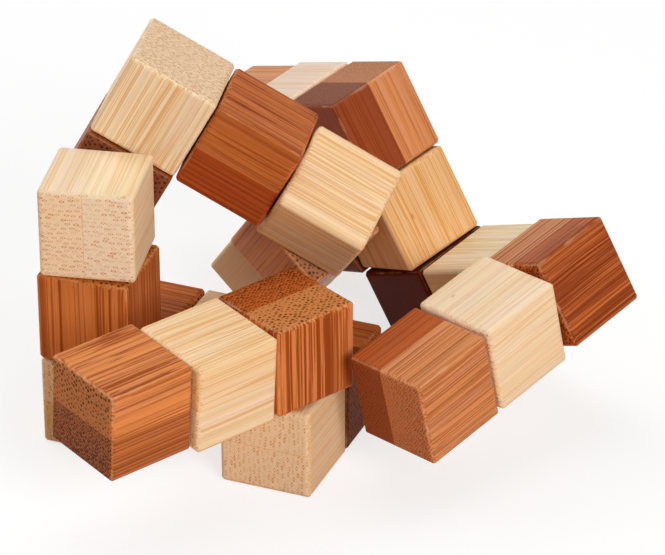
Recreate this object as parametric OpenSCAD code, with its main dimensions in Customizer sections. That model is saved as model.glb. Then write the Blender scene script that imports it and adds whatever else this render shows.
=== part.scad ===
// Snake cube puzzle: twenty-seven bamboo cubelets, dark and light in turn, threaded on one
// elastic cord. The cord runs straight through nine cubelets, turns a corner inside sixteen
// and is glued into a blind bore in each of the two at its ends. Next to each other, the
// cubelets touch face to face and twist about the cord.
//
// The chain lies part unfolded. Three cubelets in a row and one at each end of them lie flat
// on the table. From there one side climbs to the two blocks at the left and on the near
// side, and the other leaves over the high slanting bar, runs down behind it and out to the
// right, where its end hangs over the table.
//
// X runs along the row on the table, to the right. Y points away from the viewer. Z is up.
// The origin is the middle of the underside of the row's middle cubelet.

/* [Cubelets] */
// Side of a cubelet
cube_side = 18; // [15:0.5:24]
// Radius of a cubelet's worn edges
edge_r = 1; // [0.5:0.1:1.4]
// Gap left between the faces of two cubelets
face_gap = 0.3; // [0.2:0.05:0.4]

/* [Bores] */
// Diameter of the bore that the cord runs in
bore_d = 5; // [4.6:0.1:5.6]
// Angle of the drill's point, seen at the bottom of a bore
point_angle = 118; // [90:1:140]
// Depth of the blind bore in the two end cubelets, to the drill's shoulder
blind_depth = 12; // [8:0.5:12]
// Bevel round the mouth of a bore
mouth_bevel = 0.4; // [0.2:0.1:0.8]

/* [Cord] */
// Diameter of the elastic cord
cord_d = 2.2; // [1.8:0.1:2.6]
// Radius of the cord's bend inside a corner cubelet
bend_r = 3; // [2.6:0.1:3.6]
// Least room between the cord and the wall of its bore
cord_room = 0.3; // [0.1:0.05:0.4]

/* [Glued ends] */
// Length of the plug of glue round each end of the cord
glue_len = 6; // [3:0.5:7]

/* [Hidden] */
$fn = 48;

pitch = cube_side + face_gap;
cut = 0.5; // how far a cutting shape runs past a face
// A step of slip. Sideways on the cord, a cubelet slips up to two steps one way and one the other.
slip = ((bore_d - cord_d) / 2 - cord_room) / norm([2, 1]);
corner_reach = (cube_side / 2 - edge_r) * sqrt(3) + edge_r; // middle to worn corner

// Cubelets in each straight run of the chain. A corner cubelet ends one run and starts the next.
RUNS = [3, 3, 3, 3, 2, 2, 2, 3, 3, 2, 2, 3, 2, 3, 2, 2, 3];
function steps(run) = run < 0 ? 0 : RUNS[run] - 1 + steps(run - 1);
CORNERS = [for (run = [0 : len(RUNS) - 2]) 1 + steps(run)];
COUNT = 1 + steps(len(RUNS) - 1);

// The pose, one row for each cubelet: its twist in degrees against the cubelet before it,
// then how far the cord lies off the middle of its bore, crosswise and upwards in the
// cubelet's own frame, in steps of slip.
POSE = [
    [0, 0, 0], // 1, dark: the near right end of the chain
    [0, -1, -1],
    [-112, 1, 0], // 3: far right, striped
    [90, 2, 0],
    [0, 2, 0], // 5: foot of the dark leaning column
    [84, 0, 0],
    [90, -1, 1], // 7: top of the leaning column
    [180, -1, 1],
    [-180, 0, -2], // 9: highest at the back
    [0, 0, 0],
    [95, -2, -1],
    [-156, -2, 0], // 12 and 13: under the near end of the slanting bar
    [0, 2, 0],
    [111, -2, -1], // 14, 15 and 16: the slanting bar
    [-143, -2, 0],
    [-180, 2, 1],
    [90, 1, 0],
    [-151, 0, 0], // 18, 19 and 20: the block at the left
    [8, 0, 0],
    [4, 0, -1],
    [90, -1, 0], // 21, 22 and 23: the row on the table
    [-90, 0, 0],
    [90, -1, 0],
    [-90, 0, 0], // 24: the near foot
    [152, 0, -2],
    [176, 0, 2],
    [0, -1, -1], // 27, dark: the near left end of the chain
];
REST = CORNERS[12] + 1; // the straight cubelet of the row on the table, which holds the origin

function digits(i) = str(i < 10 ? "0" : "", i);
function turns(i) = len(search(i, CORNERS)) > 0;
function tone(i) = i % 2 == 1 ? "sienna" : "burlywood";
function twist(i) = POSE[i - 1][0];
// Where the cord's line lies from the middle of cubelet i, in the cubelet's own frame: the
// cord comes in along x and leaves along x, or along y where it turns a corner.
function cord_in(i) = [0, POSE[i - 1][1], POSE[i - 1][2]] * slip;
function cord_out(i) = turns(i) ? [0, 0, cord_in(i)[2]] : cord_in(i);
function mouth_in(i) = cord_in(i) - [pitch / 2, 0, 0];
function mouth_out(i) = cord_out(i) + (turns(i) ? [0, pitch / 2, 0] : [pitch / 2, 0, 0]);

// Moves its children from cubelet i's frame to the next cubelet's
module onward(i) {
    translate(mouth_out(i)) rotate([0, 0, turns(i) ? 90 : 0])
        rotate([twist(i + 1), 0, 0]) translate(-mouth_in(i + 1)) children();
}

// Moves its children from cubelet i + 1's frame back to cubelet i's
module backward(i) {
    translate(mouth_in(i + 1)) rotate([-twist(i + 1), 0, 0])
        rotate([0, 0, turns(i) ? -90 : 0]) translate(-mouth_out(i)) children();
}

// Places its children in cubelet i's frame, worked out along the cord from the flat row
module at(i) {
    if (i > REST) at(i - 1) onward(i - 1) children();
    else if (i < REST) at(i + 1) backward(i) children();
    else translate([0, 0, cube_side / 2]) rotate([90, 0, 0]) children();
}

module rounded_square() {
    flat = cube_side - 2 * edge_r;
    union() {
        square([cube_side, flat], center = true);
        square([flat, cube_side], center = true);
        for (x = [-1, 1], y = [-1, 1]) translate([x, y] * flat / 2) circle(r = edge_r);
    }
}

module rounded_bar() {
    translate([0, 0, -cube_side / 2]) linear_extrude(cube_side) rounded_square();
}

// A block with twelve rounded edges and its eight corners worn round
module block() {
    intersection() {
        rounded_bar();
        rotate([90, 0, 0]) rounded_bar();
        rotate([0, 90, 0]) rounded_bar();
        sphere(r = corner_reach, $fn = 96);
    }
}

// A drilled hole that enters at the face on -x, with the cone of the drill's point at its
// bottom and a bevel at its mouth
module drilled(depth) {
    point = bore_d / 2 / tan(point_angle / 2);
    translate([-cube_side / 2, 0, 0]) rotate([0, 90, 0]) {
        translate([0, 0, -cut]) cylinder(d = bore_d, h = depth + cut);
        translate([0, 0, depth]) cylinder(d1 = bore_d, d2 = 0, h = point);
        translate([0, 0, -mouth_bevel]) cylinder(
            d1 = bore_d + 4 * mouth_bevel, d2 = bore_d, h = 2 * mouth_bevel);
    }
}

// The same hole right through, bevelled at both ends
module through() {
    for (side = [0, 180]) rotate([0, 0, side]) drilled(cube_side / 2 + cut);
}

// Two holes that meet in the middle, each drilled on to the far side of the other
module corner_bores() {
    depth = (cube_side + bore_d) / 2;
    drilled(depth);
    rotate([0, 0, -90]) drilled(depth);
}

module cubelet(i) {
    color(tone(i)) at(i) difference() {
        block();
        if (i == 1) rotate([0, 0, 180]) drilled(blind_depth);
        else if (i == COUNT) drilled(blind_depth);
        else if (turns(i)) corner_bores();
        else through();
    }
}

// A straight stretch of cord, from the origin up along z
module stretch(length) {
    linear_extrude(length) circle(d = cord_d);
}

// The cord's way through a corner: in along x, round the bend and out along y
module bent_cord(i) {
    across = cord_in(i)[1];
    translate([-bend_r, across + bend_r, cord_in(i)[2]]) {
        rotate([0, 0, -90]) rotate_extrude(angle = 90) translate([bend_r, 0]) circle(d = cord_d);
        translate([0, -bend_r, 0]) rotate([0, -90, 0]) stretch(pitch / 2 - bend_r);
        translate([bend_r, 0, 0]) rotate([-90, 0, 0]) stretch(pitch / 2 - bend_r - across);
    }
}

module cord(i) {
    held = blind_depth + face_gap / 2;
    color("dimgray") at(i)
        if (turns(i)) bent_cord(i);
        else translate(cord_in(i) + [i == 1 ? pitch / 2 - held : -pitch / 2, 0, 0])
            rotate([0, 90, 0]) stretch(i == 1 || i == COUNT ? held : pitch);
}

// A ring of glue that fills the bottom of a blind bore round the cord
module glue(i) {
    bottom = cube_side / 2 - blind_depth;
    middle = i == 1 ? cord_in(i) : [0, -cord_in(i)[1], cord_in(i)[2]];
    color("wheat") at(i) rotate([0, 0, i == 1 ? 0 : 180]) translate([bottom, 0, 0]) difference() {
        rotate([0, 90, 0]) cylinder(d = bore_d, h = glue_len);
        translate(middle - [cut, 0, 0]) rotate([0, 90, 0]) stretch(glue_len + 2 * cut);
    }
}

for (i = [1 : COUNT]) {
    cubelet(i);
    cord(i);
}
glue(1);  // glue_first
glue(COUNT);  // glue_last
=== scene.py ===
import math
from collections import namedtuple

import bpy
from mathutils import Matrix, Vector

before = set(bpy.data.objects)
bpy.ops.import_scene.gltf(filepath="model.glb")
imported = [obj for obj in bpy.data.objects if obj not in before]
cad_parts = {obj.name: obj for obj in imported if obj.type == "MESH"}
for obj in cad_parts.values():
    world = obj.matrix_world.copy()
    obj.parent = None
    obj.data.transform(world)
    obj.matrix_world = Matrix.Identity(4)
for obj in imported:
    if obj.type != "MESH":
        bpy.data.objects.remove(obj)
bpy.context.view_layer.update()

# The script gives the 27 bamboo cubelets, the cord and the glue their materials, and adds the
# camera, the lamps and the floor. The pieces are the CAD nodes themselves.

MM = 0.001

# The camera: where it stands, which way it looks and how far it is tilted in degrees, its lens
# and sensor in mm, and the nearest that it sees in metres
CAMERA_AT = Vector((267.2, -604.2, 394.1)) * MM
CAMERA_AZIMUTH = -22.205
CAMERA_ELEVATION = 29.09
CAMERA_ROLL = -0.22
LENS = 217.0
SENSOR = 36.0
CLIP_START = 0.05

# The middle of the chain, which the lamps are aimed at
AIM = Vector((10, 5, 28)) * MM

# The lamps: the side that each shines from, how wide it is in metres, and its power in watts
Lamp = namedtuple("Lamp", "toward width power")
LAMPS = {
    "key": Lamp((0.70, -0.62, 0.50), 0.4, 6.6),
    "overhead": Lamp((0.0, 0.15, 1.0), 0.6, 2.6),
    "left": Lamp((-0.80, 0.10, 0.68), 1.0, 6.1),
    "back": Lamp((0.45, 0.60, 0.66), 0.6, 1.2),
}
LAMP_DISTANCE = 1.0
WORLD_STRENGTH = 0.02

# The floor: how far it reaches in metres, the warm paper that lights the chain from below, and
# the grey that takes the shadow, with the glow that makes it look white
FLOOR_REACH = 3.0
FLOOR_PAPER = (0.92, 0.80, 0.66)
FLOOR_GREY = (0.60, 0.60, 0.60)
FLOOR_GLOW = 0.72

# A strip of bamboo: its colour on the long faces and on the end grain, the colour of its
# streaks and of its bundles, how far apart the bundles lie and how large they are, in mm, and
# how uneven its colour is. In natural bamboo a bundle shows as a ring of dots.
Wood = namedtuple("Wood", "long_face end_grain streak bundle pitch size uneven")
NATURAL = ((0.88, 0.60, 0.26), (0.82, 0.50, 0.19), 1.2, 0.155, 0.3)
CLOSE = ((0.88, 0.62, 0.30), (0.74, 0.50, 0.31), 0.72, 0.12, 0.3)
STEAMED = ((0.53, 0.19, 0.02), (0.22, 0.07, 0.02), 0.88, 0.25, 1.0)
DENSE = ((0.42, 0.12, 0.02), (0.24, 0.07, 0.03), 0.58, 0.26, 1.0)
FINE = ((0.50, 0.18, 0.03), (0.34, 0.14, 0.06), 0.52, 0.13, 1.0)
MUTED = ((0.70, 0.36, 0.13), (0.46, 0.28, 0.19), 0.62, 0.13, 1.0)
MILK = Wood((1.00, 0.95, 0.80), (0.98, 0.87, 0.74), *NATURAL)
SNOW = Wood((0.98, 0.89, 0.73), (0.99, 0.90, 0.79), *NATURAL)
PEARL = Wood((0.99, 0.90, 0.76), (0.94, 0.82, 0.68), *CLOSE)
CREAM = Wood((0.97, 0.87, 0.73), (0.99, 0.88, 0.75), *NATURAL)
STRAW = Wood((0.97, 0.84, 0.66), (0.96, 0.80, 0.60), *NATURAL)
WHEAT = Wood((0.98, 0.85, 0.68), (0.96, 0.80, 0.60), *CLOSE)
HONEY = Wood((0.94, 0.76, 0.55), (0.93, 0.74, 0.50), *NATURAL)
FROST = Wood((0.96, 0.86, 0.76), (0.96, 0.83, 0.70), *NATURAL)
ASH = Wood((0.90, 0.78, 0.62), (0.95, 0.83, 0.69), *NATURAL)
CARAMEL = Wood((0.89, 0.56, 0.32), (0.78, 0.50, 0.31), *STEAMED)
TOFFEE = Wood((0.87, 0.52, 0.27), (0.80, 0.50, 0.27), *STEAMED)
TAN = Wood((0.86, 0.56, 0.35), (0.80, 0.50, 0.33), *FINE)
FAWN = Wood((0.86, 0.57, 0.36), (0.74, 0.50, 0.36), *MUTED)
AMBER = Wood((0.81, 0.48, 0.26), (0.66, 0.40, 0.26), *DENSE)
ROSY = Wood((0.88, 0.60, 0.39), (0.70, 0.46, 0.31), *STEAMED)
CHESTNUT = Wood((0.84, 0.49, 0.24), (0.80, 0.46, 0.18), *STEAMED)
BRICK = Wood((0.72, 0.36, 0.16), (0.62, 0.32, 0.17), *FINE)
WINE = Wood((0.60, 0.29, 0.15), (0.52, 0.31, 0.22), *FINE)
AUBURN = Wood((0.78, 0.44, 0.22), (0.78, 0.44, 0.19), *STEAMED)
RUST = Wood((0.68, 0.31, 0.13), (0.66, 0.31, 0.12), *STEAMED)
RUSSET = Wood((0.78, 0.42, 0.21), (0.74, 0.37, 0.14), *DENSE)
UMBER = Wood((0.58, 0.31, 0.15), (0.52, 0.29, 0.18), *STEAMED)
# Cubelet 5's wood: a dark brown made darker still with painted shade, for the deep shade that
# cubelet sits in
SHADED_COCOA = Wood((0.38, 0.14, 0.05), (0.38, 0.18, 0.09), *DENSE)

# The pale shade that rubbed edges go halfway to, partly wear and partly a painted highlight, and
# the hearts of bundles, a painted glint
PALE_WEAR_AND_HIGHLIGHT = (1.0, 0.88, 0.68)

# How each cubelet was cut: the rough direction of its grain, the rough direction in which its
# two strips are glued together, where the glue line lies from its middle in mm, the wood of
# the strip before that line and of the one after it, and how strong its stripes and its
# shorter dashes are. Directions are in the part's frame.
Cut = namedtuple("Cut", "grain stack glue_at first second stripes dashes")
CUTS = {
    1: Cut((2, 4, 1), (2, -1, 0), -1, BRICK, TAN, 0.5, 0.5),
    2: Cut((2, 4, 1), (2, -1, 0), 0.5, CREAM, CREAM, 0.3, 0.1),
    3: Cut((2, 4, 1), (2, -1, 1), 1.5, ROSY, RUSSET, 0.8, 0.4),
    4: Cut((-2, 1, -1), (2, 4, 1), 1, MILK, MILK, 0.4, 0.0),
    # Cubelet 5 wears the wood that carries painted shade
    5: Cut((-1, 0, 2), (2, -1, 1), 2, SHADED_COCOA, SHADED_COCOA, 0.8, 0.3),
    6: Cut((-1, 0, 2), (2, -1, 1), 1, HONEY, HONEY, 1.0, 0.3),
    7: Cut((-1, 0, 2), (-1, -2, 0), 0, FAWN, WINE, 0.4, 0.2),
    8: Cut((-2, 1, -1), (1, 2, 0), 0, FROST, FROST, 0.0, 0.0),
    9: Cut((-2, 1, -1), (1, 2, 0), 1, ROSY, ROSY, 0.4, 0.3),
    10: Cut((1, 2, 0), (-1, 0, 2), 0, CREAM, STRAW, 0.5, 0.3),
    11: Cut((2, -2, 3), (1, 2, 0), 0, UMBER, CHESTNUT, 0.6, 0.4),
    12: Cut((2, -2, 3), (1, 2, 0), 0, ASH, ASH, 0.3, 0.2),
    13: Cut((2, -2, 3), (4, -1, -3), 0, ROSY, ROSY, 0.2, 0.1),
    14: Cut((2, 0, -1), (1, 0, 2), 0.5, WHEAT, WHEAT, 0.8, 0.3),
    15: Cut((2, 0, -1), (1, 0, 2), -0.5, RUST, AUBURN, 0.5, 2.0),
    16: Cut((1, 0, 2), (2, 0, -1), 3.5, PEARL, PEARL, 0.8, 0.2),
    17: Cut((0, 1, 0), (1, 0, 2), 0, UMBER, UMBER, 0.5, 0.4),
    18: Cut((0, 1, 0), (1, 0, 0), -0.5, CREAM, SNOW, 0.3, 0.0),
    19: Cut((0, 0, 1), (1, 0, 0), -0.5, CHESTNUT, CHESTNUT, 0.7, 0.3),
    20: Cut((0, 1, 0), (0, 0, 1), 0, STRAW, CREAM, 0.5, 0.2),
    21: Cut((1, 0, 0), (0, 0, 1), 0, UMBER, CHESTNUT, 0.7, 0.5),
    22: Cut((1, 0, 0), (0, 0, 1), 0, STRAW, STRAW, 0.5, 0.3),
    23: Cut((1, 0, 0), (0, 1, 0), -1, UMBER, CHESTNUT, 0.5, 0.5),
    24: Cut((0, 1, 0), (0, 0, 1), 0, ASH, ASH, 0.9, 0.3),
    25: Cut((0, 0, 1), (2, -1, 0), -0.5, RUSSET, TOFFEE, 1.0, 0.3),
    26: Cut((1, 2, 0), (0, 0, 1), 0, CREAM, STRAW, 0.7, 0.4),
    27: Cut((1, 2, 0), (0, 0, 1), 0, AMBER, CARAMEL, 0.3, 0.9),
}

# The patterns of noise: how many steps each has per mm across the strips, along their width and
# along the grain, and how much detail. Where the third is small, a pattern is drawn out along
# the grain. Noise swings about 0.5.
Noise = namedtuple("Noise", "steps detail")
DRIFT = Noise((0.07, 0.07, 0.03), 1.0)
BANDS = Noise((0.3, 0.3, 0.004), 2.0)
TINTS = Noise((0.5, 0.5, 0.02), 2.0)
STAINS = Noise((0.7, 0.7, 0.008), 2.0)
FIBRES = Noise((3.2, 3.2, 0.05), 2.0)
GROUPS = Noise((0.35, 0.35, 0.0), 1.0)
STRIPES = Noise((2.6, 2.6, 0.0), 3.0)
WIDE_DASHES = Noise((2.2, 2.2, 0.045), 2.0)
NARROW_DASHES = Noise((4.5, 4.5, 0.08), 2.0)
PATCHES = Noise((0.25, 0.25, 0.25), 4.0)

# At which noise each mark starts to show, and at which it is full
TINT_STEP = (0.45, 0.60)
STAIN_STEP = (0.48, 0.66)
STRIPE_STEP = (0.62, 0.64)
WIDE_DASH_STEP = (0.61, 0.64)
NARROW_DASH_STEP = (0.60, 0.67)

# How much each mark covers what lies under it
TINT_COVER = 0.5
STAIN_COVER = 0.2
STRIPE_COVER = 0.9
NARROW_DASH_COVER = 0.35
# For the hearts of bundles, whose paleness is a painted glint
HEART_GLINT_COVER = 0.5
LINE_COVER = 0.9
BUNDLE_COVER = 0.9
FLECK_COVER = 0.6
GLUE_LINE_COVER = 0.35
# For the rubbed edges, whose paleness is partly wear and partly a painted highlight
WORN_AND_HIGHLIT_COVER = 0.35

# The lattice of fibre bundles, in pitches of the wood
ALONG_ROW = 1.25  # from bundle to bundle
ROW_TO_ROW = 0.8
STRAYING = 0.55  # how far a bundle may lie off its place
OUTER_PAIR = 0.29  # from the middle of a ring to the dots of its outer pair
INNER_PAIR = 0.16  # and to those of its inner pair
HEART_GLINT_SIZE = 0.16  # size of the pale heart in a ring, a painted glint

# The strands of a bundle
STRAND_EDGE = 1.25  # in strand sizes, where its edge ends
STRAND_CORE = 0.6  # in strand sizes, where it is full
SIZE_BY_CHANCE = 0.4  # how much the sizes differ from bundle to bundle
SIZE_BY_SKIN = 0.4  # and in uneven wood from the glue to the skin side
INNER_STRENGTH = 0.5  # how dark a ring's inner pair is, against the outer
FAINTEST = 0.5  # how dark the faintest bundle is, against the darkest

# How clearly the bundles show as lines on a long face: at least, and on top of that in uneven
# wood and where the cut has strong stripes
LINES_LEAST = 0.25
LINES_UNEVEN = 0.3
LINES_STRIPED = 0.45

# How much the noise of stripes and dashes is raised: by groups, on the skin side, and for
# stripes by how strong they are, more so in uneven wood
RAISED_IN_GROUPS = 0.3
RAISED_AT_SKIN = 0.03
RAISED_STRIPES = 0.01
RAISED_UNEVEN = 0.07
NARROW_FACES = 0.2  # how strong dashes are on a strip's narrow faces, against its broad ones

# How much the wood's brightness swings: with the fibres, and in uneven wood from band to band
# and more so on a long face
FIBRE_SWING = 0.32
BAND_SWING = 0.1
LONG_BAND_SWING = 0.15

# The paler tint: what it multiplies red, green and blue by, and how strong it is in perfectly
# even wood, against the most uneven
PALER = (0.98, 1.05, 1.5, 1.0)
TINT_EVEN = 0.15

# The patterns of two strips and of two cubelets are taken from places this far apart, in mm
STRIP_JUMP = 41.0
CUBELET_JUMP = 7.3

# Flecks: how many cells they lie in per mm, at which distances from the middle of its cell one
# starts and is full, and how high the chance number of a cell has to be for a fleck
FLECK_CELLS = (0.16, 0.16, 0.09)
FLECK_STEP = (0.10, 0.05)
FLECK_CHANCE = (0.55, 0.60)

# Distances in mm at which something starts and at which it is full
SKIN = (0.5, 9.0)  # the skin side of a strip, from the glue
GLUE_LINE = (0.12, 0.03)  # the glue line, from its middle
STRIP_CHANGE = (-0.04, 0.04)  # the second strip, from the glue line's middle
WORN_AND_HIGHLIT_EDGE = (8.45, 8.75)  # the rubbed edges, partly wear and partly a painted highlight, from the cubelet's middle
WEAR_AND_HIGHLIGHT_REACH = 1.2  # how far in those reach per unit of the noise of patches
WEAR_AND_HIGHLIGHT_LEVEL = 0.55  # the noise at which they lie as said

# How squarely a surface looks along an axis where it starts to count as a face across that
# axis, and where it fully does
FACING = (0.7, 0.9)

# The wood's surface: its gloss and roughness, how much fibres and end grain change that, and
# how far fibres stand out and dark marks lie deeper, more so in uneven wood
SHEEN = 0.06
ROUGHNESS = 0.42
FIBRE_ROUGHNESS = 0.2
END_ROUGHNESS = 0.12
FIBRE_RELIEF = 0.4
MARK_RELIEF = -0.1
UNEVEN_RELIEF = -0.3
BUMP_STRENGTH = 0.22
BUMP_DEPTH = 0.12 * MM

# The cord's and the glue's surfaces. The steps of their patterns are counted per metre.
CORD_DARK = (0.10, 0.10, 0.11)
CORD_LIGHT = (0.24, 0.24, 0.25)
CORD_RIBS = 2200.0
CORD_DEPTH = 0.15 * MM
CORD_ROUGHNESS = 0.75
GLUE_DARK = (0.80, 0.68, 0.46)
GLUE_LIGHT = (0.93, 0.87, 0.70)
GLUE_CLOUDS = Noise((900.0, 900.0, 900.0), 3.0)
GLUE_ROUGHNESS = 0.35

WHITE = (1, 1, 1, 1)


def srgb(colour):
    """An RGBA value for a node, from a colour as it looks on a screen."""
    return [c / 12.92 if c <= 0.04045 else ((c + 0.055) / 1.055) ** 2.4 for c in colour] + [1.0]


class Nodes:
    """Adds nodes to a tree and joins them, so that a formula stays short."""

    def __init__(self, tree):
        self.tree = tree

    def add(self, kind, inputs=(), **settings):
        node = self.tree.nodes.new(kind)
        for name, value in settings.items():
            setattr(node, name, value)
        for name, value in dict(inputs).items():
            self.put(node.inputs[name], value)
        return node

    def put(self, socket, value):
        if isinstance(value, bpy.types.NodeSocket):
            self.tree.links.new(value, socket)
        else:
            socket.default_value = value

    def math(self, operation, *values):
        return self.add("ShaderNodeMath", enumerate(values), operation=operation).outputs[0]

    def plus(self, first, second):
        return self.math("ADD", first, second)

    def minus(self, first, second):
        return self.math("SUBTRACT", first, second)

    def times(self, first, second):
        return self.math("MULTIPLY", first, second)

    def times_plus(self, value, factor, addend):
        return self.math("MULTIPLY_ADD", value, factor, addend)

    def over(self, first, second):
        return self.math("DIVIDE", first, second)

    def larger(self, first, second):
        return self.math("MAXIMUM", first, second)

    def smaller(self, first, second):
        return self.math("MINIMUM", first, second)

    def unsigned(self, value):
        return self.math("ABSOLUTE", value)

    def vector(self, operation, *values):
        node = self.add("ShaderNodeVectorMath", enumerate(values), operation=operation)
        return node.outputs["Value" if operation == "DOT_PRODUCT" else "Vector"]

    def combine(self, x, y, z=0.0):
        return self.add("ShaderNodeCombineXYZ", {"X": x, "Y": y, "Z": z}).outputs[0]

    def split(self, vector):
        return self.add("ShaderNodeSeparateXYZ", {"Vector": vector}).outputs[:]

    def step(self, value, off, on):
        """0 at off and beyond, 1 at on and beyond, and smooth between them."""
        inputs = {"Value": value, "From Min": off, "From Max": on}
        return self.add("ShaderNodeMapRange", inputs, interpolation_type="SMOOTHSTEP").outputs[0]

    def mix(self, share, first, second, blend="MIX"):
        """Two colours mixed. The node has sockets of one name for several kinds of value, so
        the ones for colours go by their numbers."""
        node = self.add("ShaderNodeMix", data_type="RGBA", blend_type=blend)
        self.put(node.inputs[0], share)
        self.put(node.inputs[6], first)
        self.put(node.inputs[7], second)
        return node.outputs[2]

    def cover(self, wood, colour, share, strength):
        """The wood with a colour over it where share is 1, as thick as strength says."""
        return self.mix(self.times(share, strength), wood, colour)

    def noise(self, place, pattern, output="Fac"):
        steps = self.vector("MULTIPLY", place, pattern.steps)
        inputs = {"Vector": steps, "Scale": 1.0, "Detail": pattern.detail}
        return self.add("ShaderNodeTexNoise", inputs).outputs[output]


def own_place(n, given):
    """A point's place in mm, moved for each cubelet and strip to a pattern of its own."""
    jump = n.times_plus(given["Second"], STRIP_JUMP, n.times(given["Seed"], CUBELET_JUMP))
    return n.vector("ADD", given["Place"], n.combine(jump, jump, jump))


def along_fibres(n, own):
    """That place with a slow sideways drift, because fibres don't run quite straight."""
    drift = n.vector("SUBTRACT", n.noise(own, DRIFT, "Color"), (0.5, 0.5, 0.5))
    return n.vector("ADD", own, n.vector("MULTIPLY", drift, (1.0, 1.0, 0.0)))


def nearest_bundle(n, given, fibres):
    """How far a point lies from the middle of the nearest fibre bundle, in mm, across the
    strips and along their width, and a chance number for that bundle. The bundles lie in
    staggered rows."""
    across, up, _ = n.split(fibres)
    apart = n.times(given["Pitch"], ALONG_ROW)
    rise = n.times(given["Pitch"], ROW_TO_ROW)
    row = n.over(up, rise)
    column = n.times_plus(row, 0.5, n.over(across, apart))
    lattice = n.combine(column, row)
    inputs = {"Vector": lattice, "Scale": 1.0, "Randomness": STRAYING}
    cells = n.add("ShaderNodeTexVoronoi", inputs, voronoi_dimensions="2D").outputs
    off_column, off_row, _ = n.split(n.vector("SUBTRACT", lattice, cells["Position"]))
    off_x = n.times(n.times_plus(off_row, -0.5, off_column), apart)
    return off_x, n.times(off_row, rise), n.split(cells["Color"])[0]


def strands_beside(n, toward, aside, distance, size):
    """Two strands, one on each side of a bundle's middle, or one in it at distance 0."""
    off = n.minus(n.unsigned(toward), distance)
    squares = n.plus(n.times(off, off), n.times(aside, aside))
    edge = n.times(size, STRAND_EDGE)
    core = n.times(size, STRAND_CORE)
    return n.step(n.math("SQRT", squares), edge, core)


def fibre_bundles(n, given, fibres, skin):
    """The fibre bundles: one round strand each, or four about a pale heart, with the outer
    pair darker. The pale heart is a painted glint. An end face shows their cut ends, and a
    long face shows lines wherever it cuts them lengthwise. Uneven wood has larger ones on its
    skin side."""
    off_x, off_y, chance = nearest_bundle(n, given, fibres)
    by_chance = n.times_plus(chance, SIZE_BY_CHANCE, 1 - SIZE_BY_CHANCE / 2)
    by_skin = n.times(n.minus(skin, 0.5), given["Uneven"])
    size = n.times(given["Size"], n.times_plus(by_skin, SIZE_BY_SKIN, by_chance))
    ring = n.times(given["Ring"], given["Pitch"])
    outer = strands_beside(n, off_x, off_y, n.times(ring, OUTER_PAIR), size)
    inner = strands_beside(n, off_y, off_x, n.times(ring, INNER_PAIR), size)
    strands = n.larger(outer, n.times(inner, INNER_STRENGTH))
    strands = n.times(strands, n.times_plus(chance, 1 - FAINTEST, FAINTEST))
    # The pale heart, a painted glint
    heart_glint = strands_beside(n, off_x, off_y, 0.0, n.times(ring, HEART_GLINT_SIZE))
    return strands, n.times(heart_glint, given["Ring"])


def stripes(n, given, fibres, bias):
    """Dark stripes of full length, in groups. There are more of them where the cut has strong
    stripes, above all in uneven wood."""
    crowd = n.times_plus(given["Uneven"], RAISED_UNEVEN, RAISED_STRIPES)
    veins = n.plus(n.noise(fibres, STRIPES), bias)
    veins = n.times_plus(given["Stripes"], crowd, veins)
    return n.times(n.times(n.step(veins, *STRIPE_STEP), given["Stripes"]), STRIPE_COVER)


def dashes(n, given, fibres, bias):
    """Dark tapered dashes, most of them on a strip's broad face."""
    wide = n.step(n.plus(n.noise(fibres, WIDE_DASHES), bias), *WIDE_DASH_STEP)
    narrow = n.step(n.plus(n.noise(fibres, NARROW_DASHES), bias), *NARROW_DASH_STEP)
    marks = n.larger(wide, n.times(narrow, NARROW_DASH_COVER))
    strength = n.times_plus(given["Broad"], 1 - NARROW_FACES, NARROW_FACES)
    return n.times(marks, n.smaller(n.times(given["Dashes"], strength), 1.0))


def lengthwise_lines(n, given, fibres, skin, strands):
    """Everything dark that runs along a long face: bundles, which are fainter there than on
    the end grain, stripes and dashes."""
    clear = n.times(given["Stripes"], LINES_STRIPED)
    clear = n.times_plus(given["Uneven"], LINES_UNEVEN, clear)
    strands = n.times(strands, n.plus(clear, LINES_LEAST))
    groups = n.minus(n.noise(fibres, GROUPS), 0.5)
    bias = n.times_plus(groups, RAISED_IN_GROUPS, n.times(skin, RAISED_AT_SKIN))
    streaks = n.larger(stripes(n, given, fibres, bias), dashes(n, given, fibres, bias))
    return n.larger(strands, streaks)


def plain_wood(n, given, fibres, fibre, side):
    """The wood between the bundles: fine fibres, broad bands of another brightness, and on the
    long faces also tints that are paler and less yellow, and faint stains."""
    band = n.minus(n.noise(fibres, BANDS), 0.5)
    swing = n.times(given["Uneven"], n.times_plus(side, LONG_BAND_SWING, BAND_SWING))
    level = n.times_plus(fibre, FIBRE_SWING, n.times_plus(band, swing, 1.0))
    levels = {"Red": level, "Green": level, "Blue": level}
    grey = n.add("ShaderNodeCombineColor", levels).outputs[0]
    wood = n.mix(given["End"], given["Long face"], given["End grain"])
    paler = n.mix(1.0, wood, PALER, "MULTIPLY")
    tint = n.step(n.noise(fibres, TINTS), *TINT_STEP)
    tint = n.times(tint, n.times_plus(given["Uneven"], 1 - TINT_EVEN, TINT_EVEN))
    wood = n.cover(wood, paler, n.times(tint, side), TINT_COVER)
    wood = n.mix(1.0, wood, grey, "MULTIPLY")
    stain = n.step(n.noise(fibres, STAINS), *STAIN_STEP)
    return n.cover(wood, given["Streak"], n.times(stain, side), STAIN_COVER)


def flecks(n, own, side):
    """A few small flecks on the long faces."""
    cells = n.vector("MULTIPLY", own, FLECK_CELLS)
    spots = n.add("ShaderNodeTexVoronoi", {"Vector": cells, "Scale": 1.0}).outputs
    rare = n.step(n.split(spots["Color"])[0], *FLECK_CHANCE)
    return n.times(n.step(spots["Distance"], *FLECK_STEP), n.times(rare, side))


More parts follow.
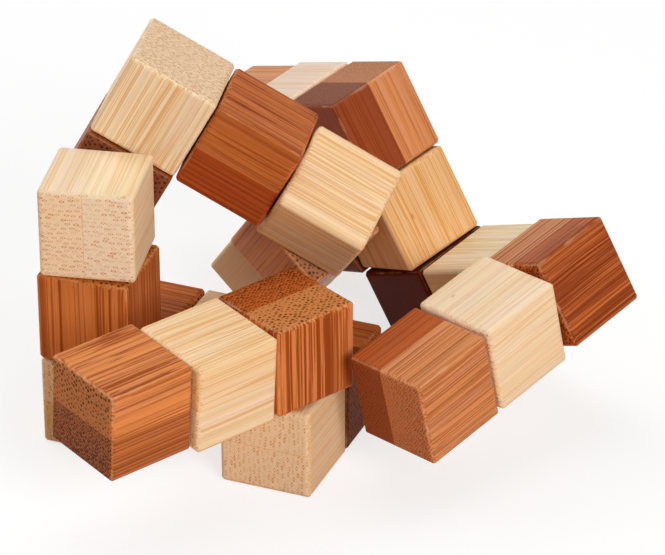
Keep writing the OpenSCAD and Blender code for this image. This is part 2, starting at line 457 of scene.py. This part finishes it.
def worn_and_highlit_edges(n, place, own):
    """The edges, in patches, paler with wear and with a painted highlight: there, two of the
    three distances from the middle are near their most."""
    x, y, z = [n.unsigned(value) for value in n.split(place)]
    most = n.larger(n.larger(x, y), z)
    least = n.smaller(n.smaller(x, y), z)
    middle = n.minus(n.minus(n.plus(n.plus(x, y), z), most), least)
    patches = n.minus(n.noise(own, PATCHES), WEAR_AND_HIGHLIGHT_LEVEL)
    return n.step(n.times_plus(patches, WEAR_AND_HIGHLIGHT_REACH, middle), *WORN_AND_HIGHLIT_EDGE)


def paled(n, wood):
    """The wood halfway to a pale shade: wear and a painted highlight on the edges, a painted glint
    in the hearts of bundles.
    """
    return n.mix(0.5, wood, srgb(PALE_WEAR_AND_HIGHLIGHT))


def bamboo_group():
    """Bamboo in a cubelet's own frame in mm: x crosses the strips, y runs along their width
    and z along the grain."""
    tree = bpy.data.node_groups.new("bamboo", "ShaderNodeTree")
    inputs = [
        ("Place", "Vector"), ("Seed", "Float"), ("End", "Float"), ("Broad", "Float"),
        ("From glue", "Float"), ("Second", "Float"),
        ("Long face", "Color"), ("End grain", "Color"), ("Streak", "Color"), ("Bundle", "Color"),
        ("Pitch", "Float"), ("Size", "Float"), ("Uneven", "Float"), ("Ring", "Float"),
        ("Stripes", "Float"), ("Dashes", "Float"),
    ]
    outputs = [("Color", "Color"), ("Roughness", "Float"), ("Height", "Float")]
    for name, kind in inputs:
        tree.interface.new_socket(name, in_out="INPUT", socket_type=f"NodeSocket{kind}")
    for name, kind in outputs:
        tree.interface.new_socket(name, in_out="OUTPUT", socket_type=f"NodeSocket{kind}")
    n = Nodes(tree)
    given = n.add("NodeGroupInput").outputs
    out = n.add("NodeGroupOutput").inputs
    for name, value in bamboo_surface(n, given).items():
        n.put(out[name], value)
    return tree


def bamboo_surface(n, given):
    """The group's outputs, from what it is given."""
    end = given["End"]
    side = n.minus(1.0, end)
    own = own_place(n, given)
    fibres = along_fibres(n, own)
    fibre = n.minus(n.noise(fibres, FIBRES), 0.5)
    from_glue = n.unsigned(given["From glue"])
    skin = n.step(from_glue, *SKIN)
    strands, heart_glint = fibre_bundles(n, given, fibres, skin)
    bundles = n.times(strands, end)
    lines = n.times(lengthwise_lines(n, given, fibres, skin, strands), side)
    glue = n.step(from_glue, *GLUE_LINE)
    # The edges, paler with wear and with a painted highlight
    worn_and_highlit = worn_and_highlit_edges(n, given["Place"], own)

    wood = plain_wood(n, given, fibres, fibre, side)
    # The hearts of bundles, paler as a painted glint
    wood = n.cover(wood, paled(n, wood), heart_glint, HEART_GLINT_COVER)
    wood = n.cover(wood, given["Streak"], lines, LINE_COVER)
    wood = n.cover(wood, given["Bundle"], bundles, BUNDLE_COVER)
    wood = n.cover(wood, given["Bundle"], flecks(n, own, side), FLECK_COVER)
    wood = n.cover(wood, given["Streak"], glue, GLUE_LINE_COVER)
    # Rubbed edges, lightened also as a painted highlight
    wood = n.cover(wood, paled(n, wood), worn_and_highlit, WORN_AND_HIGHLIT_COVER)

    rough = n.times_plus(fibre, FIBRE_ROUGHNESS, ROUGHNESS)
    rough = n.plus(rough, n.times(end, END_ROUGHNESS))
    depth = n.times_plus(given["Uneven"], UNEVEN_RELIEF, MARK_RELIEF)
    height = n.times_plus(fibre, FIBRE_RELIEF, n.times(n.plus(lines, bundles), depth))
    return {"Color": wood, "Roughness": rough, "Height": height}


def flat_directions(mesh):
    """The directions that the six flat faces of a cubelet look in."""
    areas = {}
    for face in mesh.polygons:
        key = tuple(round(c, 2) for c in face.normal)
        areas[key] = areas.get(key, 0.0) + face.area
    largest = sorted(areas, key=areas.get, reverse=True)[:6]
    return [Vector(key).normalized() for key in largest]


def cut_frame(mesh, grain, stack):
    """The cubelet's own axes, as columns, across the strips, along their width and along the
    grain, and its middle."""
    looks = flat_directions(mesh)
    along = max(looks, key=Vector(grain).dot)
    crossing = [look for look in looks if abs(look.dot(along)) < 0.5]
    across = max(crossing, key=Vector(stack).dot)
    across = (across - along * along.dot(across)).normalized()
    axes = (across, along.cross(across), along)
    middle = Vector()
    for axis in axes:
        reach = [vertex.co.dot(axis) for vertex in mesh.vertices]
        middle += axis * (min(reach) + max(reach)) / 2
    return Matrix(axes).transposed(), middle


def new_material(name):
    """A material, its shader, and the nodes of its tree."""
    material = bpy.data.materials.new(name)
    material.use_nodes = True
    n = Nodes(material.node_tree)
    return material, material.node_tree.nodes["Principled BSDF"], n


def strip_values(n, beyond, first, second):
    """The colours and sizes of the wood at a point: the first strip's, or the second's where
    beyond is 1."""
    return {
        "Long face": n.mix(beyond, srgb(first.long_face), srgb(second.long_face)),
        "End grain": n.mix(beyond, srgb(first.end_grain), srgb(second.end_grain)),
        "Streak": n.mix(beyond, srgb(first.streak), srgb(second.streak)),
        "Bundle": n.mix(beyond, srgb(first.bundle), srgb(second.bundle)),
        "Pitch": n.times_plus(beyond, second.pitch - first.pitch, first.pitch),
        "Size": n.times_plus(beyond, second.size - first.size, first.size),
        "Uneven": first.uneven,
    }


def bamboo_values(n, number, mesh):
    """What the bamboo group is given in one cubelet."""
    cut = CUTS[number]
    axes, middle = cut_frame(mesh, cut.grain, cut.stack)
    coordinates = n.add("ShaderNodeTexCoord").outputs
    mapping = {
        "Vector": coordinates["Object"],
        "Location": middle,
        "Rotation": axes.to_euler(),
        "Scale": (MM, MM, MM),
    }
    place = n.add("ShaderNodeMapping", mapping, vector_type="TEXTURE").outputs[0]
    facing = [n.vector("DOT_PRODUCT", coordinates["Normal"], tuple(axis)) for axis in axes.col]
    broad, _, end = [n.step(n.unsigned(share), *FACING) for share in facing]
    from_glue = n.minus(n.split(place)[0], float(cut.glue_at))
    beyond = n.step(from_glue, *STRIP_CHANGE)
    values = {
        "Place": place,
        "Seed": float(number),
        "End": end,
        "Broad": broad,
        "From glue": from_glue,
        "Second": beyond,
        "Ring": float(number % 2 == 0),
        "Stripes": cut.stripes,
        "Dashes": cut.dashes,
    }
    values.update(strip_values(n, beyond, cut.first, cut.second))
    return values


def bamboo(number, mesh, group):
    """The material of one cubelet."""
    material, shader, n = new_material(f"bamboo_{number:02d}")
    wood = n.add("ShaderNodeGroup", node_tree=group)
    for name, value in bamboo_values(n, number, mesh).items():
        n.put(wood.inputs[name], value)
    n.put(shader.inputs["Base Color"], wood.outputs["Color"])
    n.put(shader.inputs["Roughness"], wood.outputs["Roughness"])
    shader.inputs["Specular IOR Level"].default_value = SHEEN
    relief = {
        "Height": wood.outputs["Height"],
        "Strength": BUMP_STRENGTH,
        "Distance": BUMP_DEPTH,
    }
    n.put(shader.inputs["Normal"], n.add("ShaderNodeBump", relief).outputs[0])
    return material


def cord_material():
    """Black elastic in a ribbed braid, which shows only inside the bores."""
    material, shader, n = new_material("elastic_cord")
    place = n.add("ShaderNodeTexCoord").outputs["Object"]
    ribs = n.add("ShaderNodeTexVoronoi", {"Vector": place, "Scale": CORD_RIBS}).outputs["Distance"]
    n.put(shader.inputs["Base Color"], n.mix(ribs, srgb(CORD_DARK), srgb(CORD_LIGHT)))
    shader.inputs["Roughness"].default_value = CORD_ROUGHNESS
    bump = n.add("ShaderNodeBump", {"Height": ribs, "Distance": CORD_DEPTH})
    n.put(shader.inputs["Normal"], bump.outputs[0])
    return material


def glue_material():
    """Dried wood glue, cloudy and yellowish."""
    material, shader, n = new_material("dried_glue")
    place = n.add("ShaderNodeTexCoord").outputs["Object"]
    cloud = n.noise(place, GLUE_CLOUDS)
    n.put(shader.inputs["Base Color"], n.mix(cloud, srgb(GLUE_DARK), srgb(GLUE_LIGHT)))
    shader.inputs["Roughness"].default_value = GLUE_ROUGHNESS
    return material


def finish_with(node, material):
    node.data.materials.clear()
    node.data.materials.append(material)


def dress_nodes():
    """Gives every CAD node its material."""
    group = bamboo_group()
    cord = cord_material()
    glue = glue_material()
    for name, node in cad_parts.items():
        kind, which = name.split("_")
        if kind == "cubelet":
            finish_with(node, bamboo(int(which), node.data, group))
        elif kind == "cord":
            finish_with(node, cord)
        else:
            finish_with(node, glue)


def look_rotation(direction, roll=0.0):
    """The rotation of a camera or lamp that looks in a direction."""
    turn = direction.to_track_quat("-Z", "Y").to_matrix()
    return (turn @ Matrix.Rotation(roll, 3, "Z")).to_euler()


def add_camera():
    data = bpy.data.cameras.new("camera")
    data.sensor_width = SENSOR
    data.lens = LENS
    data.clip_start = CLIP_START
    camera = bpy.data.objects.new("camera", data)
    bpy.context.scene.collection.objects.link(camera)
    azimuth = math.radians(CAMERA_AZIMUTH)
    elevation = math.radians(CAMERA_ELEVATION)
    flat = math.cos(elevation)
    view = Vector((math.sin(azimuth) * flat, math.cos(azimuth) * flat, -math.sin(elevation)))
    camera.location = CAMERA_AT
    camera.rotation_euler = look_rotation(view, math.radians(CAMERA_ROLL))
    bpy.context.scene.camera = camera


def add_lamp(name, toward, width, power):
    """A square soft lamp that looks at the chain from that side."""
    data = bpy.data.lights.new(name, "AREA")
    data.shape = "SQUARE"
    data.size = width
    data.energy = power
    lamp = bpy.data.objects.new(name, data)
    bpy.context.scene.collection.objects.link(lamp)
    toward = Vector(toward).normalized()
    lamp.location = AIM + toward * LAMP_DISTANCE
    lamp.rotation_euler = look_rotation(-toward)


def seen_directly(n):
    """1 where the camera sees a surface, also in a reflection or through glass, 0 elsewhere."""
    rays = n.add("ShaderNodeLightPath").outputs
    seen = n.larger(rays["Is Camera Ray"], rays["Is Glossy Ray"])
    return n.larger(seen, rays["Is Transmission Ray"])


def shown_as(n, lighting, shown):
    """One shader for the light that the surface gives, and another where it is seen."""
    parts = {0: seen_directly(n), 1: lighting, 2: shown}
    return n.add("ShaderNodeMixShader", parts).outputs[0]


def add_world():
    """Faint light from all round, and a white background."""
    world = bpy.data.worlds.new("studio")
    bpy.context.scene.world = world
    world.use_nodes = True
    n = Nodes(world.node_tree)
    world.node_tree.nodes.clear()
    faint = {"Color": WHITE, "Strength": WORLD_STRENGTH}
    plain = n.add("ShaderNodeBackground", faint).outputs[0]
    white = n.add("ShaderNodeBackground", {"Color": WHITE, "Strength": 1.0}).outputs[0]
    n.put(n.add("ShaderNodeOutputWorld").inputs[0], shown_as(n, plain, white))


def floor_material():
    material, _, n = new_material("floor_paper")
    material.node_tree.nodes.clear()
    paper = n.add("ShaderNodeBsdfDiffuse", {"Color": srgb(FLOOR_PAPER)}).outputs[0]
    grey = n.add("ShaderNodeBsdfDiffuse", {"Color": srgb(FLOOR_GREY)}).outputs[0]
    glow = n.add("ShaderNodeEmission", {"Color": WHITE, "Strength": FLOOR_GLOW}).outputs[0]
    white = n.add("ShaderNodeAddShader", {0: grey, 1: glow}).outputs[0]
    n.put(n.add("ShaderNodeOutputMaterial").inputs[0], shown_as(n, paper, white))
    return material


def add_floor():
    """A plain floor that looks white and keeps the soft shadow of the chain."""
    far = FLOOR_REACH
    mesh = bpy.data.meshes.new("floor")
    corners = [(-far, -far, 0), (far, -far, 0), (far, far, 0), (-far, far, 0)]
    mesh.from_pydata(corners, [], [(0, 1, 2, 3)])
    floor = bpy.data.objects.new("floor", mesh)
    bpy.context.scene.collection.objects.link(floor)
    floor.data.materials.append(floor_material())


dress_nodes()
add_camera()
for name, lamp in LAMPS.items():
    add_lamp(name, *lamp)
add_world()
add_floor()
bpy.context.scene.view_settings.view_transform = "Standard"
